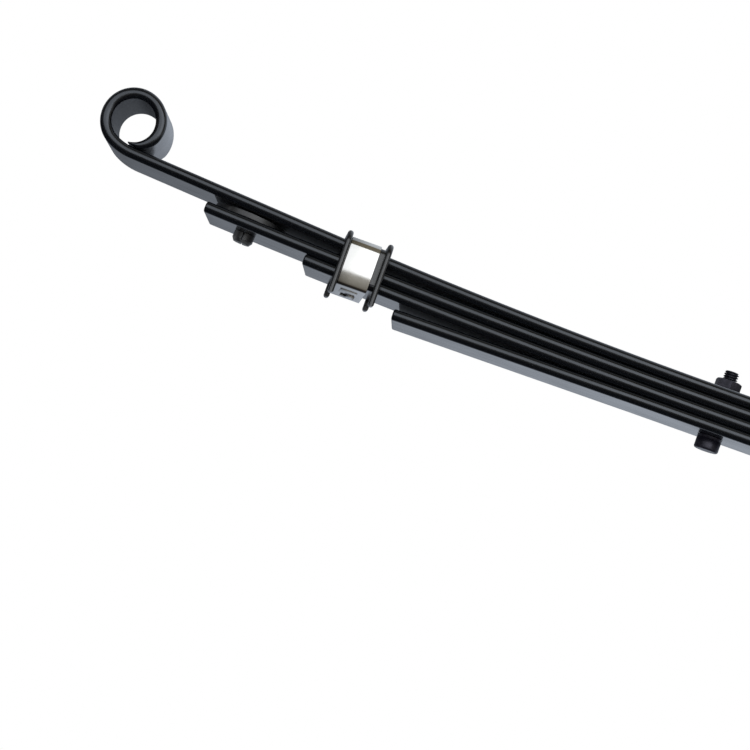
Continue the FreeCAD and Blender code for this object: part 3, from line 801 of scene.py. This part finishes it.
def make_world():
    """White where the camera sees it; SURROUNDINGS in what it lights and in reflections."""
    world = bpy.data.worlds.new("studio")
    bpy.context.scene.world = world
    world.use_nodes = True
    nodes, links = world.node_tree.nodes, world.node_tree.links
    nodes.clear()
    output = nodes.new("ShaderNodeOutputWorld")
    mix = nodes.new("ShaderNodeMixShader")
    seen = nodes.new("ShaderNodeBackground")
    seen.inputs["Strength"].default_value = 1.0
    seen.inputs["Color"].default_value = (1, 1, 1, 1)
    around = nodes.new("ShaderNodeBackground")
    path = nodes.new("ShaderNodeLightPath")
    place = nodes.new("ShaderNodeTexCoord")
    axes = nodes.new("ShaderNodeSeparateXYZ")
    front = nodes.new("ShaderNodeMath")
    front.operation = "MULTIPLY"
    front.inputs[1].default_value = -1.0
    angle = nodes.new("ShaderNodeMath")
    angle.operation = "ARCTAN2"
    share = nodes.new("ShaderNodeMapRange")
    share.inputs["From Min"].default_value = -math.pi
    share.inputs["From Max"].default_value = math.pi
    ramp = nodes.new("ShaderNodeValToRGB")
    stops = ramp.color_ramp.elements
    for degrees, colour in SURROUNDINGS:
        stop = stops.new((degrees + 180) / 360)
        stop.color = (*colour, 1)
    # the two stops that a new ramp has, at its ends
    stops.remove(stops[0])
    stops.remove(stops[len(stops) - 1])
    fade = nodes.new("ShaderNodeMapRange")
    for socket, number in (("From Min", FADE_START), ("From Max", FADE_END),
                           ("To Min", FRONT_SHARE), ("To Max", REAR_SHARE)):
        fade.inputs[socket].default_value = number
    links.new(place.outputs["Generated"], axes.inputs[0])
    links.new(axes.outputs["Y"], front.inputs[0])
    links.new(axes.outputs["Z"], angle.inputs[0])
    links.new(front.outputs[0], angle.inputs[1])
    links.new(angle.outputs[0], share.inputs["Value"])
    links.new(share.outputs["Result"], ramp.inputs["Fac"])
    links.new(ramp.outputs["Color"], around.inputs["Color"])
    links.new(axes.outputs["X"], fade.inputs["Value"])
    links.new(fade.outputs["Result"], around.inputs["Strength"])
    links.new(path.outputs["Is Camera Ray"], mix.inputs["Fac"])
    links.new(around.outputs[0], mix.inputs[1])
    links.new(seen.outputs[0], mix.inputs[2])
    links.new(mix.outputs[0], output.inputs[0])


def softbox(name, place, target, size, radiance):
    """A soft rectangular light facing target, of the given brightness whatever its size."""
    light = bpy.data.lights.new(name, "AREA")
    light.shape = "RECTANGLE"
    light.size, light.size_y = size
    light.energy = radiance * math.pi * size[0] * size[1]
    light.color = SOFTBOX_COLOUR
    obj = bpy.data.objects.new(name, light)
    obj.location = place
    obj.rotation_euler = (Vector(target) - Vector(place)).to_track_quat("-Z", "Y").to_euler()
    obj.visible_camera = False
    bpy.context.scene.collection.objects.link(obj)


def make_lights():
    """Two softboxes in front: a wide one, and a small, weaker one centred past the rear eye."""
    centre = (SOFTBOX_LOW + SOFTBOX_HIGH) / 2
    height = 2 * SOFTBOX_REACH * math.tan((SOFTBOX_HIGH - SOFTBOX_LOW) / 2)
    y = -SOFTBOX_REACH * math.cos(centre)
    z = LIT_HEIGHT + SOFTBOX_REACH * math.sin(centre)
    softbox("front_softbox", (FRONT_X, y, z), (FRONT_X, 0, LIT_HEIGHT),
            (FRONT_WIDTH, height), FRONT_RADIANCE)
    # a little nearer the spring than the wide one, which it overlaps
    softbox("right_softbox", (RIGHT_X, y + 0.05, z), (RIGHT_X, 0, LIT_HEIGHT),
            (RIGHT_WIDTH, height * 0.9), RIGHT_RADIANCE)


def make_camera():
    """A long lens in front of the spring's front half, low, looking up a little and rolled."""
    camera = bpy.data.cameras.new("camera")
    camera.lens = CAMERA_LENS
    camera.sensor_width = 36.0
    camera.clip_start, camera.clip_end = 0.05, 60.0
    obj = bpy.data.objects.new("camera", camera)
    obj.matrix_world = (Matrix.Translation(CAMERA_PLACE)
                        @ Matrix.Rotation(CAMERA_HEADING, 4, "Z")
                        @ Matrix.Rotation(math.pi / 2 + CAMERA_ELEVATION, 4, "X")
                        @ Matrix.Rotation(CAMERA_ROLL, 4, "Z"))
    bpy.context.scene.collection.objects.link(obj)
    bpy.context.scene.camera = obj


# ---------------------------------------------------------------- build

leaf_paints = [              # in the order of the gloss, tops, bore and covered indexes; the covered paint is painted shade
    leaf_paint(),
    dull_paint("leaf_paint_tops", (0.007, 0.0074, 0.008), (0.014, 0.0146, 0.016), 0.4),
    dull_paint("leaf_paint_bore", (0.006, 0.007, 0.009), (0.012, 0.014, 0.018), 0.12),
    # painted shade: darker, duller paint under the stretch that the next leaf covers
    dull_paint("leaf_paint_covered_shade", (0.003, 0.0032, 0.0036), (0.007, 0.0073, 0.008), 0.1),
]
make_leaves(leaf_paints)
fasteners = fastener_black()
make_bolt(fasteners)
finish_nodes(fasteners, "centre_nut")
finish_nodes(liner_black(), "front_clip_liner", "rear_clip_liner")
finish_nodes(pad_black(), "front_tip_pad", "rear_tip_pad")
steel = band_bright()
for end_side in (FRONT, REAR):
    make_band(end_side, steel)
make_floor()
make_world()
make_lights()
make_camera()
bpy.context.scene.view_settings.view_transform = "Standard"
